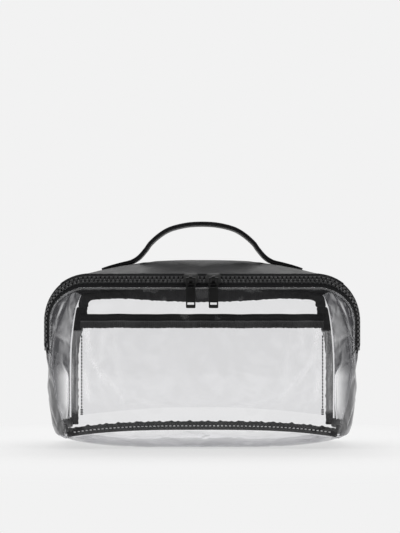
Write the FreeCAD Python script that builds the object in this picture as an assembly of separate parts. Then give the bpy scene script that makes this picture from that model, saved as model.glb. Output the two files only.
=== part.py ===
import FreeCAD, Part
import math
import os

# Clear makeup bag with a domed black top, a strap handle and a zip with two sliders. Millimetres.
# +X is to the right, +Y to the back and +Z up. The origin is on the table, under the middle of the base.
# Each piece is written to parts/NODE.step. Soft pieces are modelled in the shape they rest in.

# How late a bowed sheet curves between its middle and its seam: 2 would be a parabola
BOW = 2.2

# Sheet thicknesses
VINYL = 0.5
LEATHER = 1.3
TAPE = 0.6
BINDING = 1.3
CLEARANCE = 0.3

# Base: it touches the table in the middle and rises to the seams
BASE_HALF_LENGTH = 120.2
BASE_BACK_HALF_LENGTH = 127.0
BASE_MIDDLE_HALF_LENGTH = 133.0
BASE_HALF_DEPTH = 56.0
BASE_SIDE_RISE = 11.0
BACK_BOTTOM_SEAM_HEIGHT = 13.0
FRONT_SEAM_HEIGHT = 16.3
FRONT_SEAM_CORNER_DROP = 6.8
BASE_FLAT_HALF_LENGTH = 40.0
BASE_DIP = 0.2

# Front sheet: it stands in one plane and folds at FOLD_HEIGHT when the flap opens
FRONT_Y = -56.5
FOLD_HEIGHT = 80.0
FOLD_GAP = 0.5
FLAP_HALF_WIDTH = 134.3
FLAP_TOP = 142.3

# Zip: straight along the top, then round two corners and down the sides
ZIP_HALF_STRAIGHT = 101.5
ZIP_TOP = 148.4
ZIP_CORNER_RADIUS = 36.0
ZIP_SIDE_RUN = 21.0
ZIP_TAPE_END = 84.0
ZIP_TOP_Y = -50.5
ZIP_SIDE_Y = -48.6
ZIP_TOP_TILT = math.radians(43.0)
ZIP_SIDE_TILT = math.radians(68.0)
TAPE_INNER = 4.35
TAPE_OUTER = 8.3
TAPE_FLANGE = 1.8
TOOTH_PITCH = 3.83
TOOTH_THICKNESS = 2.6

# Sliders and pulls
SLIDER_X = 10.0
SLIDER_HALF_LENGTH = 6.5
SLIDER_HALF_WIDTH = 6.6
SLIDER_PLATE = 1.3
SLIDER_LIFT = 1.7
LUG_HALF_WIDTH = 1.5
LUG_RADIUS = 2.4
PIVOT_ACROSS = -4.5
PIVOT_OUT = 7.2
PIVOT_RADIUS = 1.0
PIVOT_CLEARANCE = 0.06
PULL_WIDTH = 8.4
PULL_LENGTH = 26.0
PULL_THICKNESS = 1.5

# Top panel
TOP_HALF_LENGTH = 126.0
TOP_BACK_HALF_LENGTH = 115.5
TOP_FRONT_Y = -44.0
TOP_BACK_Y = 56.0
CROWN_HEIGHT = 168.7
CROWN_END_DROP = 23.4
BACK_SEAM_HEIGHT = 145.5
BACK_SEAM_END_DROP = 5.5
TOP_EDGE_LIFT = 6.6
TOP_EDGE_REACH = 4.5

# Handle strap
HANDLE_WIDTH = 20.0
HANDLE_THICKNESS = 3.5
HANDLE_CUT_X = 53.0
HANDLE_END_X = 92.0

# Back sheet, its bindings and the pocket
BACK_Y = 56.0
BACK_BOTTOM = 14.2
BINDING_Y = 53.9
SIDE_BINDING_HEIGHT = 8.6
POCKET_Y = 51.2
POCKET_HALF_WIDTH = 116.5
POCKET_TOP = 121.0
POCKET_BOTTOM = 24.0
POCKET_TRIM_HEIGHT = 13.5
STITCH_PITCH = 3.2
STITCH_LENGTH = 2.2
STITCH_WIDTH = 0.6
STITCH_THICKNESS = 0.4
POCKET_STITCH_WIDTH = 1.0
BOTTOM_STITCH_PITCH = 3.5
BOTTOM_STITCH_LENGTH = 1.8
BOTTOM_STITCH_WIDTH = 0.8

X_AXIS = FreeCAD.Vector(1, 0, 0)
Y_AXIS = FreeCAD.Vector(0, 1, 0)
Z_AXIS = FreeCAD.Vector(0, 0, 1)
ORIGIN = FreeCAD.Vector(0, 0, 0)


# General shapes

def evenly(start, end, steps):
    """Numbers from start to end, both included."""
    return [start + (end - start) * i / steps for i in range(steps + 1)]


def spline(points):
    """A smooth edge through points."""
    curve = Part.BSplineCurve()
    curve.interpolate(points)
    return curve.toShape()


def plate(edges, direction):
    """A flat piece: a closed loop of edges, thickened along direction."""
    return Part.Face(Part.Wire(edges)).extrude(direction)


def polygon_plate(corners, direction):
    """A flat piece with straight sides."""
    return Part.Face(Part.makePolygon(corners + corners[:1])).extrude(direction)


def strip(first, second, direction):
    """A flat strip between two smooth lines that run the same way, thickened along direction."""
    edges = [
        spline(first),
        Part.makeLine(first[-1], second[-1]),
        spline(second[::-1]),
        Part.makeLine(second[0], first[0]),
    ]
    return plate(edges, direction)


def mirrored(shape):
    """The same piece on the bag's other side."""
    return shape.mirror(ORIGIN, X_AXIS)


def shifted(points, distance, plane_normal):
    """Points of a plane curve moved sideways in its plane, along plane_normal x direction of travel."""
    moved = []
    for i, point in enumerate(points):
        travel = points[min(i + 1, len(points) - 1)] - points[max(i - 1, 0)]
        moved.append(point + plane_normal.cross(travel).normalize() * distance)
    return moved


def sheet_section(points, thickness, plane_normal):
    """The closed outline of a curved sheet cut by a plane."""
    inner = shifted(points, thickness, plane_normal)
    return Part.Wire([
        spline(points),
        Part.makeLine(points[-1], inner[-1]),
        spline(inner[::-1]),
        Part.makeLine(inner[0], points[0]),
    ])


def curved_sheet(curves, thickness, plane_normal):
    """A sheet through plane curves. Its thickness lies on the plane_normal x travel side of them."""
    sections = [sheet_section(points, thickness, plane_normal) for points in curves]
    return Part.makeLoft(sections, True, False)


def stitches(places, length=STITCH_LENGTH, width=STITCH_WIDTH):
    """Separate stitches, from (middle, direction of the seam, direction out of the sheet)."""
    made = []
    for middle, along, out in places:
        across = out.cross(along) * (width / 2)
        half = along * (length / 2)
        corners = [middle - half - across, middle + half - across,
                   middle + half + across, middle - half + across]
        made.append(polygon_plate(corners, out * STITCH_THICKNESS))
    return Part.makeCompound(made)


# Base, back and sides

def front_seam_height(x):
    """Height of the seam between the front sheet and the base: it is highest in the middle."""
    return FRONT_SEAM_HEIGHT - FRONT_SEAM_CORNER_DROP * abs(x / BASE_HALF_LENGTH) ** 3


def side_seam_x(y):
    """The right end of the base at one depth: the side bottom seam bows outwards between its corners."""
    corner = BASE_HALF_LENGTH if y < 0 else BASE_BACK_HALF_LENGTH
    return BASE_MIDDLE_HALF_LENGTH + (corner - BASE_MIDDLE_HALF_LENGTH) * abs(y / BASE_HALF_DEPTH) ** BOW


def base_height(x, y):
    """Height of the base's underside."""
    past_flat = max(abs(x) - BASE_FLAT_HALF_LENGTH, 0.0)
    side = BASE_SIDE_RISE * (past_flat / (side_seam_x(y) - BASE_FLAT_HALF_LENGTH)) ** BOW
    seam = front_seam_height(x) if y < 0 else BACK_BOTTOM_SEAM_HEIGHT
    return side + (seam - side) * abs(y / BASE_HALF_DEPTH) ** 8 - BASE_DIP


def base_panel():
    """The belly. The part that would dip below the table is cut flat, and is what the bag rests on."""
    depths = [-56.0, -53.5, -50.0, -45.0, -38.0, -25.0, 0.0, 25.0, 38.0, 45.0, 50.0, 53.5, 55.7]
    curves = []
    for y in depths:
        stations = [u * side_seam_x(y) for u in evenly(-1, 1, 18)]
        curves.append([FreeCAD.Vector(x, y, base_height(x, y)) for x in stations])
    sheet = curved_sheet(curves, VINYL, -Y_AXIS)
    table = Part.makeBox(300, 150, 10, FreeCAD.Vector(-150, -75, -10))
    return sheet.cut(table)


BACK_OUTLINE = [(126.4, BACK_BOTTOM), (126.6, 25.0), (126.6, 42.0), (126.6, 64.0), (126.3, 82.0),
                (125.3, 98.0), (123.0, 115.0), (120.2, 127.5), (116.4, 134.6), (108.0, 139.4),
                (96.0, 141.2), (50.0, 143.3), (0.0, 143.6)]


def back_panel():
    """The back sheet, a rounded-top plate."""
    right = [FreeCAD.Vector(x, BACK_Y - VINYL, z) for x, z in BACK_OUTLINE]
    left = [FreeCAD.Vector(-p.x, p.y, p.z) for p in right[-2::-1]]
    return plate([spline(right + left), Part.makeLine(left[-1], right[0])], Y_AXIS * VINYL)


# The gusset's outer line (x, z) at the front seam, half way back and at the back seam
GUSSET_FRONT = [(120.8, 11.5), (123.5, 25.0), (128.5, 43.0), (132.0, 64.0), (137.0, 82.0),
                (140.7, 98.0), (140.6, 113.5), (135.9, 132.5), (127.6, 143.5)]
GUSSET_MIDDLE = [(133.8, 11.4), (136.6, 19.0), (139.2, 36.0), (140.2, 60.0), (140.4, 82.0),
                 (140.5, 98.0), (140.0, 114.5), (135.6, 132.5), (127.2, 143.5)]
GUSSET_BACK = [(127.1, 14.0), (127.2, 24.0), (127.2, 42.0), (127.2, 64.0), (127.0, 82.0),
               (126.0, 98.0), (123.8, 115.0), (121.2, 128.0), (117.0, 137.8)]
GUSSET_FRONT_Y = -55.9
GUSSET_BACK_Y = 55.2


def gusset_curve(y):
    """The gusset's outer line at one depth, bowed outwards between its seams."""
    edge, edge_y = (GUSSET_FRONT, GUSSET_FRONT_Y) if y < 0 else (GUSSET_BACK, GUSSET_BACK_Y)
    share = abs(y / edge_y) ** BOW
    return [FreeCAD.Vector(mx + (ex - mx) * share, y, mz + (ez - mz) * share)
            for (mx, mz), (ex, ez) in zip(GUSSET_MIDDLE, edge)]


def side_gusset():
    """The right side wall. Above the fold its front edge stops at the zip's rear tape."""
    depths = [GUSSET_FRONT_Y, -42.0, -22.0, 0.0, 22.0, 42.0, GUSSET_BACK_Y]
    wall = curved_sheet([gusset_curve(y) for y in depths], VINYL, -Y_AXIS)
    zip_gap = [(-60.0, 75.0), (-40.3, 83.0), (-40.3, 160.0), (-60.0, 160.0)]
    corners = [FreeCAD.Vector(100, y, z) for y, z in zip_gap]
    return wall.cut(polygon_plate(corners, X_AXIS * 50))


# Front sheet

def flap_outline(inset):
    """The front sheet's zip edge, from its right end at the fold over the top to its left end."""
    width = FLAP_HALF_WIDTH - inset
    top = FLAP_TOP - inset
    centre_z = ZIP_TOP - ZIP_CORNER_RADIUS
    corner = []
    for angle in evenly(0, math.pi / 2, 8):
        x = ZIP_HALF_STRAIGHT + (width - ZIP_HALF_STRAIGHT) * math.cos(angle)
        z = centre_z + (top - centre_z) * math.sin(angle)
        corner.append(FreeCAD.Vector(x, FRONT_Y, z))
    foot = FreeCAD.Vector(width, FRONT_Y, FOLD_HEIGHT + FOLD_GAP)
    return foot, corner


def front_panel_upper():
    """The front sheet above the fold: a plate with rounded top corners."""
    foot, corner = flap_outline(0)
    far_corner = [FreeCAD.Vector(-p.x, p.y, p.z) for p in corner[::-1]]
    far_foot = FreeCAD.Vector(-foot.x, foot.y, foot.z)
    edges = [
        Part.makeLine(foot, corner[0]),
        spline(corner),
        Part.makeLine(corner[-1], far_corner[0]),
        spline(far_corner),
        Part.makeLine(far_corner[-1], far_foot),
        Part.makeLine(far_foot, foot),
    ]
    return plate(edges, -Y_AXIS * VINYL)


def front_panel_lower():
    """The front sheet below the fold: it narrows to the base, where its seam is arched."""
    top = FOLD_HEIGHT - FOLD_GAP
    bottom = front_seam_height(BASE_HALF_LENGTH)
    side = [(BASE_HALF_LENGTH, bottom), (124.0, 27.0), (128.9, 45.0), (132.1, 64.0), (FLAP_HALF_WIDTH, top)]
    right = [FreeCAD.Vector(x, FRONT_Y, z) for x, z in side]
    left = [FreeCAD.Vector(-p.x, p.y, p.z) for p in right[::-1]]
    stations = evenly(-BASE_HALF_LENGTH, BASE_HALF_LENGTH, 12)
    seam = [FreeCAD.Vector(x, FRONT_Y, front_seam_height(x)) for x in stations]
    edges = [
        spline(right),
        Part.makeLine(right[-1], left[0]),
        spline(left),
        spline(seam),
    ]
    return plate(edges, -Y_AXIS * VINYL)


# Zip

def zip_frame(distance):
    """Place on the zip's middle line, by the distance along it from the bag's middle.

    Returns the point, the direction of the line, the direction across the zip to its rear half, and the
    direction out of the bag.
    """
    side = 1.0 if distance >= 0 else -1.0
    past_straight = abs(distance) - ZIP_HALF_STRAIGHT
    turn = min(max(past_straight / ZIP_CORNER_RADIUS, 0.0), math.pi / 2)
    down = max(past_straight - ZIP_CORNER_RADIUS * math.pi / 2, 0.0)
    x = min(abs(distance), ZIP_HALF_STRAIGHT) + ZIP_CORNER_RADIUS * math.sin(turn)
    z = ZIP_TOP - ZIP_CORNER_RADIUS * (1 - math.cos(turn)) - down
    sideways = math.sin(turn) ** 2
    y = ZIP_TOP_Y + (ZIP_SIDE_Y - ZIP_TOP_Y) * sideways
    tilt = ZIP_TOP_TILT + (ZIP_SIDE_TILT - ZIP_TOP_TILT) * sideways
    along = FreeCAD.Vector(math.cos(turn), 0, -side * math.sin(turn))
    outline = FreeCAD.Vector(side * math.sin(turn), 0, math.cos(turn))
    across = outline * math.cos(tilt) + Y_AXIS * math.sin(tilt)
    out = outline * math.sin(tilt) - Y_AXIS * math.cos(tilt)
    return FreeCAD.Vector(side * x, y, z), along, across, out


def zip_half_length():
    """From the bag's middle to the last tooth."""
    return ZIP_HALF_STRAIGHT + ZIP_CORNER_RADIUS * math.pi / 2 + ZIP_SIDE_RUN


def rear_tape_section(distance):
    """The rear tape, cut across: a flat strip."""
    point, _, across, out = zip_frame(distance)
    corners = [point + across * a + out * o for a, o in [
        (TAPE_INNER, -TAPE / 2), (TAPE_OUTER, -TAPE / 2), (TAPE_OUTER, TAPE / 2), (TAPE_INNER, TAPE / 2)]]
    return Part.makePolygon(corners + corners[:1])


def front_tape_section(distance):
    """The front tape, cut across: a strip with its sewn edge bent down behind the front sheet."""
    point, along, across, out = zip_frame(distance)
    outline = along.cross(Y_AXIS)
    bend = point - across * (TAPE_OUTER - 0.3)
    hem = bend - outline * TAPE_FLANGE
    corners = [
        point - across * TAPE_INNER + out * (TAPE / 2),
        bend + out * (TAPE / 2),
        bend - Y_AXIS * (TAPE / 2),
        hem - Y_AXIS * (TAPE / 2),
        hem + Y_AXIS * (TAPE / 2),
        bend - out * (TAPE / 2) + across * 0.3,
        point - across * TAPE_INNER - out * (TAPE / 2),
    ]
    return Part.makePolygon(corners + corners[:1])


def zip_tape(section):
    """One tape: straight top and side runs, joined by smooth corners."""
    corner_start = ZIP_HALF_STRAIGHT
    corner_end = ZIP_HALF_STRAIGHT + ZIP_CORNER_RADIUS * math.pi / 2
    end = corner_end + ZIP_TOP - ZIP_CORNER_RADIUS - ZIP_TAPE_END
    tape = Part.makeLoft([section(-corner_start), section(corner_start)], True, True)
    for side in (-1, 1):
        stations = [side * d for d in evenly(corner_start, corner_end, 8)]
        corner = Part.makeLoft([section(d) for d in stations], True, False)
        run = Part.makeLoft([section(side * corner_end), section(side * end)], True, True)
        tape = tape.fuse(corner).fuse(run)
    return tape


# Half of a tooth's outline: half width along the zip, and distance from the zip's middle line
MESHED_TOOTH = [(1.2, 4.2), (1.2, 1.7), (0.7, 1.3), (0.85, 0.3), (0.6, -0.6)]
UNMESHED_TOOTH = [(1.2, 4.2), (1.2, 1.9), (0.7, 1.6), (0.85, 0.7), (0.6, 0.15)]
MESHED_RUN = 140.0


def tooth(distance, row):
    """One moulded tooth. row is 1 for the rear row and -1 for the front row."""
    point, along, across, out = zip_frame(distance)
    half = MESHED_TOOTH if abs(distance) < MESHED_RUN else UNMESHED_TOOTH
    outline = half + [(-a, b) for a, b in half[::-1]]
    corners = [point + along * a + across * (row * b) - out * (TOOTH_THICKNESS / 2) for a, b in outline]
    return polygon_plate(corners, out * TOOTH_THICKNESS)


def zip_teeth(row, offset):
    """A row of teeth. The two rows are half a pitch apart."""
    count = int(zip_half_length() / TOOTH_PITCH)
    places = [(i + offset) * TOOTH_PITCH for i in range(-count, count + 1)]
    return Part.makeCompound([tooth(d, row) for d in places if abs(d) <= zip_half_length()])


def zip_end_stops():
    """A block across both rows at each end of the zip."""
    stops = []
    for side in (-1, 1):
        point, along, across, out = zip_frame(side * (zip_half_length() + 1.8))
        corners = [point + along * (a * side) + across * b - out * 1.3 for a, b in
                   [(0, -3.9), (2.8, -3.9), (2.8, 3.9), (0, 3.9)]]
        stops.append(polygon_plate(corners, out * 2.6))
    return Part.makeCompound(stops)


# Sliders and pulls, made at the bag's middle and then moved along X

def slider_plate(half_width_front, half_width_rear, low, high):
    """A slider plate with chamfered corners, between two distances out of the bag."""
    point, _, across, out = zip_frame(0)
    length = SLIDER_HALF_LENGTH
    chamfer = 2.0
    outline = [
        (-length, -half_width_front + chamfer), (-length + chamfer, -half_width_front),
        (length - chamfer, -half_width_front), (length, -half_width_front + chamfer),
        (length, half_width_rear - chamfer), (length - chamfer, half_width_rear),
        (-length + chamfer, half_width_rear), (-length, half_width_rear - chamfer),
    ]
    corners = [point + X_AXIS * a + across * b + out * low for a, b in outline]
    return polygon_plate(corners, out * (high - low))


def slider_flange(row, depth):
    """The lip along one long edge of the slider's outer plate."""
    point, _, across, out = zip_frame(0)
    length = SLIDER_HALF_LENGTH - 2.2
    outer = SLIDER_HALF_WIDTH * row
    inner = (SLIDER_HALF_WIDTH - 1.0) * row
    low = SLIDER_LIFT - depth
    corners = [point + X_AXIS * a + across * b + out * low for a, b in
               [(-length, inner), (length, inner), (length, outer), (-length, outer)]]
    return polygon_plate(corners, out * (depth + 0.2))


def pivot_point():
    """Where the pull hangs, above the slider's front edge."""
    point, _, across, out = zip_frame(0)
    return point + across * PIVOT_ACROSS + out * PIVOT_OUT


def slider_lug():
    """The ear the pull hangs from, with its hole."""
    pivot = pivot_point()
    point, _, across, out = zip_frame(0)
    start = X_AXIS * LUG_HALF_WIDTH
    stem = [
        pivot - across * LUG_RADIUS,
        point - across * 5.2 + out * (SLIDER_LIFT + SLIDER_PLATE - 0.3),
        point + across * 1.5 + out * (SLIDER_LIFT + SLIDER_PLATE - 0.3),
        pivot + across * LUG_RADIUS,
    ]
    foot = polygon_plate([corner - start for corner in stem], start * 2)
    ring = Part.makeCylinder(LUG_RADIUS, 2 * LUG_HALF_WIDTH, pivot - start, X_AXIS)
    hole = Part.makeCylinder(PIVOT_RADIUS + PIVOT_CLEARANCE, 20, pivot - X_AXIS * 10, X_AXIS)
    return foot.fuse(ring).cut(hole)


def slider_body():
    """The outer plate, its two lips and the lug."""
    body = slider_plate(SLIDER_HALF_WIDTH, SLIDER_HALF_WIDTH, SLIDER_LIFT, SLIDER_LIFT + SLIDER_PLATE)
    for lip in (slider_flange(-1, 1.1), slider_flange(1, 0.8), slider_lug()):
        body = body.fuse(lip)
    return body.removeSplitter()


def slider_inner_plate():
    """The plate inside the bag, behind the front row of teeth."""
    return slider_plate(SLIDER_HALF_WIDTH, -0.8, -SLIDER_LIFT - SLIDER_PLATE, -SLIDER_LIFT)


def pull_tab():
    """A flat tab with a window round the lug, a slot near its lower end and a round top bar."""
    pivot = pivot_point()
    half = PULL_WIDTH / 2
    corner = pivot + FreeCAD.Vector(-half, -PULL_THICKNESS / 2, -PULL_LENGTH)
    tab = Part.makeBox(PULL_WIDTH, PULL_THICKNESS, PULL_LENGTH, corner)
    upright = [edge for edge in tab.Edges if is_lower_corner(edge, corner.z)]
    tab = tab.makeFillet(1.0, upright)
    window = Part.makeBox(5.3, 5, 8.0, pivot + FreeCAD.Vector(-2.65, -2.5, -8.0))
    slot = Part.makeBox(5.8, 5, 2.0, pivot + FreeCAD.Vector(-2.9, -2.5, -PULL_LENGTH + 3.0))
    bar = Part.makeCylinder(PIVOT_RADIUS, PULL_WIDTH, pivot - X_AXIS * half, X_AXIS)
    return tab.cut(window).cut(slot).fuse(bar)


def is_lower_corner(edge, bottom):
    """Whether an edge runs front to back at the tab's lower end."""
    first, last = edge.Vertexes[0].Point, edge.Vertexes[-1].Point
    level = abs(first.z - bottom) < 0.01 and abs(last.z - bottom) < 0.01
    return level and abs(first.x - last.x) < 0.01


# Top panel and handle

def crown_height(x):
    """Height of the top panel's highest line, half way back."""
    return CROWN_HEIGHT - CROWN_END_DROP * abs(x / TOP_HALF_LENGTH) ** 3


def top_front_height(x):
    """Height of the top panel's front edge, which follows the rear tape round the corners."""
    past = max(abs(x) - ZIP_HALF_STRAIGHT, 0.0)
    corner_depth = ZIP_CORNER_RADIUS + TOP_EDGE_LIFT
    corner_width = ZIP_CORNER_RADIUS + TOP_EDGE_REACH
    return ZIP_TOP - ZIP_CORNER_RADIUS + corner_depth * math.sqrt(1 - (past / corner_width) ** 2)


def top_curve(share):
    """The top panel's line across the bag. share is -1 at its front edge, 0 at the crown, 1 at the back."""
    edge_y = TOP_BACK_Y if share > 0 else -TOP_FRONT_Y
    bowed = abs(share) ** BOW
    points = []
    for u in evenly(-1, 1, 14):
        crown = crown_height(u * TOP_HALF_LENGTH)
        half_length = TOP_HALF_LENGTH
        edge = top_front_height(u * TOP_HALF_LENGTH)
        if share > 0:
            half_length += (TOP_BACK_HALF_LENGTH - TOP_HALF_LENGTH) * bowed
            edge = BACK_SEAM_HEIGHT - BACK_SEAM_END_DROP * abs(u) ** 5
        points.append(FreeCAD.Vector(u * half_length, share * edge_y, crown + (edge - crown) * bowed))
    return points


def top_panel():
    """The padded dome over the zip, the sides and the back. Its front corners leave the rear tape room."""
    curves = [top_curve(share) for share in (-1.0, -0.7, -0.35, 0.0, 0.35, 0.7, 1.0)]
    dome = curved_sheet(curves, LEATHER, Y_AXIS)
    corners = [FreeCAD.Vector(x, y, 120) for x, y in [(101.5, -45), (130, -45), (130, -40.5), (121, -41)]]
    corner_gap = polygon_plate(corners, Z_AXIS * 50)
    return dome.cut(corner_gap).cut(mirrored(corner_gap))


HANDLE_RISE = [(64.5, 168.0), (57.8, 172.0), (51.6, 179.0), (47.2, 185.0), (38.7, 192.5),
               (29.0, 198.0), (14.7, 201.6), (0.0, 202.6)]


def handle_line():
    """The strap's middle line, from its left sewn end over the loop to its right one."""
    ends = [(x, crown_height(x) + CLEARANCE + HANDLE_THICKNESS / 2) for x in (HANDLE_END_X, 83.0, 74.0)]
    half = [FreeCAD.Vector(x, 0, z) for x, z in ends + HANDLE_RISE]
    return [FreeCAD.Vector(-p.x, 0, p.z) for p in half] + half[-2::-1]


def handle_layer(low, high):
    """A layer of the strap, between two distances from its middle line."""
    line = handle_line()
    inner = shifted(line, low, -Y_AXIS)
    outer = shifted(line, high, -Y_AXIS)
    front = -Y_AXIS * (HANDLE_WIDTH / 2)
    return strip([p + front for p in inner], [p + front for p in outer], Y_AXIS * HANDLE_WIDTH)


def loop_zone(gap):
    """A box round the handle's loop, gap short of the cut on each side."""
    half = HANDLE_CUT_X - gap
    return Part.makeBox(2 * half, 60, 60, FreeCAD.Vector(-half, -30, 160))


def handle_loop(low, high):
    """A layer of the part of the strap that swings."""
    return handle_layer(low, high).common(loop_zone(0.15))


def handle_end():
    """The strap's right end, sewn down on the top panel."""
    strap = handle_layer(-HANDLE_THICKNESS / 2, HANDLE_THICKNESS / 2).cut(loop_zone(-0.15))
    return max(strap.Solids, key=lambda solid: solid.CenterOfMass.x)


# Bindings, pocket and stitches

def front_bottom_binding():
    """Bound seam allowance, standing up inside the front bottom seam."""
    low, high = 0.9, 7.6
    half = 117.0
    y = FRONT_Y + CLEARANCE + 0.3
    points = [FreeCAD.Vector(x, y, front_seam_height(x)) for x in evenly(-half, half, 12)]
    bottom = [p + Z_AXIS * low for p in points]
    top = [p + Z_AXIS * high for p in points]
    return strip(bottom, top, Y_AXIS * BINDING)


def side_bottom_binding():
    """Bound seam allowance standing up inside the right bottom seam, bowed as the seam is."""
    outer = [FreeCAD.Vector(side_seam_x(y) - 2.0, y, 12.8) for y in evenly(-53, 53, 8)]
    inner = [p - X_AXIS * BINDING for p in outer]
    return strip(outer, inner, Z_AXIS * SIDE_BINDING_HEIGHT)


# The back side binding: outer x, width and height
BACK_BINDING = [(125.6, 7.0, 22.5), (125.7, 7.0, 42.0), (125.8, 7.0, 64.0), (125.5, 7.0, 82.0),
                (124.3, 7.6, 98.0), (121.8, 9.8, 115.0), (118.9, 9.5, 127.0)]


def back_side_binding():
    """Bound seam allowance inside the right back corner."""
    outer = [FreeCAD.Vector(x, BINDING_Y, z) for x, _, z in BACK_BINDING]
    inner = [FreeCAD.Vector(x - width, BINDING_Y, z) for x, width, z in BACK_BINDING]
    return strip(outer, inner, Y_AXIS * BINDING)


def back_top_binding():
    """Bound seam allowance inside the back top seam. It turns down a little at both ends and sags."""
    upper = [(118.6, 127.4), (114.5, 135.8), (107.0, 139.6), (94.0, 141.6), (50.0, 143.2), (0.0, 143.4)]
    lower = [(109.2, 127.4), (107.4, 133.6), (95.0, 135.2), (73.0, 135.6), (40.0, 133.6), (0.0, 132.4)]
    right_upper = [FreeCAD.Vector(x, BINDING_Y, z) for x, z in upper]
    right_lower = [FreeCAD.Vector(x, BINDING_Y, z) for x, z in lower]
    all_upper = right_upper + [FreeCAD.Vector(-p.x, p.y, p.z) for p in right_upper[-2::-1]]
    all_lower = right_lower + [FreeCAD.Vector(-p.x, p.y, p.z) for p in right_lower[-2::-1]]
    return strip(all_upper, all_lower, Y_AXIS * BINDING)


def pocket_panel():
    """The clear slip pocket, with its bottom edge arched."""
    top = POCKET_TOP - 0.6
    half = POCKET_HALF_WIDTH
    left_bottom = FreeCAD.Vector(-half, POCKET_Y, POCKET_BOTTOM)
    right_bottom = FreeCAD.Vector(half, POCKET_Y, POCKET_BOTTOM)
    left_top = FreeCAD.Vector(-half, POCKET_Y, top)
    right_top = FreeCAD.Vector(half, POCKET_Y, top)
    middle = FreeCAD.Vector(0, POCKET_Y, POCKET_BOTTOM + 8.0)
    edges = [
        Part.Arc(left_bottom, middle, right_bottom).toShape(),
        Part.makeLine(right_bottom, right_top),
        Part.makeLine(right_top, left_top),
        Part.makeLine(left_top, left_bottom),
    ]
    return plate(edges, Y_AXIS * VINYL)


def pocket_binding():
    """The strip folded over the pocket's mouth."""
    front, back = POCKET_Y - 0.1, POCKET_Y + VINYL + 0.1
    bottom, top, wall = POCKET_TOP - POCKET_TRIM_HEIGHT, POCKET_TOP, 0.7
    section = [(front - wall, bottom), (front - wall, top), (back + wall, top), (back + wall, bottom),
               (back, bottom), (back, top - 0.5), (front, top - 0.5), (front, bottom)]
    corners = [FreeCAD.Vector(-POCKET_HALF_WIDTH, y, z) for y, z in section]
    return polygon_plate(corners, X_AXIS * (2 * POCKET_HALF_WIDTH))


def pocket_stitches():
    """A line of stitches down each side of the pocket, ending in a bar tack."""
    y = POCKET_Y - 0.05
    start, end = POCKET_BOTTOM + 8.0, POCKET_TOP - POCKET_TRIM_HEIGHT - 3.0
    count = int((end - start) / STITCH_PITCH)
    places = []
    for x in (-POCKET_HALF_WIDTH + 1.2, POCKET_HALF_WIDTH - 1.2):
        for i in range(count):
            places.append((FreeCAD.Vector(x, y, start + i * STITCH_PITCH), Z_AXIS, -Y_AXIS))
        for row in range(4):
            places.append((FreeCAD.Vector(x, y, POCKET_BOTTOM + 1.0 + 1.5 * row), X_AXIS, -Y_AXIS))
    return stitches(places, width=POCKET_STITCH_WIDTH)


def front_edge_stitches():
    """Stitches round the front sheet, just inside its zip edge."""
    foot, corner = flap_outline(2.2)
    surface = FRONT_Y - VINYL - 0.05
    right = [foot] + corner
    left = [FreeCAD.Vector(-p.x, p.y, p.z) for p in right[::-1]]
    path = right + left
    places = []
    offset = STITCH_PITCH
    for start, end in zip(path, path[1:]):
        length = (end - start).Length
        along = (end - start) * (1 / length)
        while offset < length:
            middle = start + along * offset
            places.append((FreeCAD.Vector(middle.x, surface, middle.z), along, -Y_AXIS))
            offset += STITCH_PITCH
        offset -= length
    return stitches(places)


def front_bottom_stitches():
    """Stitches through the front sheet along the bottom binding."""
    surface = FRONT_Y - VINYL - 0.05
    count = int(113 / BOTTOM_STITCH_PITCH)
    places = []
    for i in range(-count, count + 1):
        x = i * BOTTOM_STITCH_PITCH
        places.append((FreeCAD.Vector(x, surface, front_seam_height(x) + 4.3), X_AXIS, -Y_AXIS))
    return stitches(places, BOTTOM_STITCH_LENGTH, BOTTOM_STITCH_WIDTH)


def pieces():
    """Every piece by node name."""
    found = {
        "base_panel": base_panel(),
        "back_panel": back_panel(),
        "front_panel_lower": front_panel_lower(),
        "front_panel_upper": front_panel_upper(),
        "top_panel": top_panel(),
        "zip_tape_rear": zip_tape(rear_tape_section),
        "zip_tape_front": zip_tape(front_tape_section),
        "zip_teeth_rear": zip_teeth(1, 0.0),
        "zip_teeth_front": zip_teeth(-1, 0.5),
        "zip_end_stops": zip_end_stops(),
        "handle_loop_outer": handle_loop(0.05, HANDLE_THICKNESS / 2),
        "handle_loop_inner": handle_loop(-HANDLE_THICKNESS / 2, -0.05),
        "front_bottom_binding": front_bottom_binding(),
        "back_top_binding": back_top_binding(),
        "pocket_panel": pocket_panel(),
        "pocket_binding": pocket_binding(),
        "pocket_stitches": pocket_stitches(),
        "front_edge_stitches": front_edge_stitches(),
        "front_bottom_stitches": front_bottom_stitches(),
    }
    right_side = {
        "side_gusset": side_gusset(),
        "handle_end": handle_end(),
        "side_bottom_binding": side_bottom_binding(),
        "back_side_binding": back_side_binding(),
        "slider_body": slider_body().translated(X_AXIS * SLIDER_X),
        "slider_inner_plate": slider_inner_plate().translated(X_AXIS * SLIDER_X),
        "pull_tab": pull_tab().translated(X_AXIS * SLIDER_X),
    }
    for name, shape in right_side.items():
        found[name + "_right"] = shape
        found[name + "_left"] = mirrored(shape)
    return found


os.makedirs("parts", exist_ok=True)
for name, shape in pieces().items():
    shape.exportStep("parts/" + name + ".step")
    box = shape.BoundBox
    print(f"{name}: solids {len(shape.Solids)}, valid {shape.isValid()}, volume {shape.Volume:.0f}, "
          f"x {box.XMin:.1f}..{box.XMax:.1f}, y {box.YMin:.1f}..{box.YMax:.1f}, "
          f"z {box.ZMin:.1f}..{box.ZMax:.1f}")
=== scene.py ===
"""Looks of the clear makeup bag: vinyl, faux leather, zip, bindings and threads over the CAD frame.

Lengths in the helpers are millimetres in the CAD frame, turned into metres where a mesh is made.
"""
import math

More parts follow.
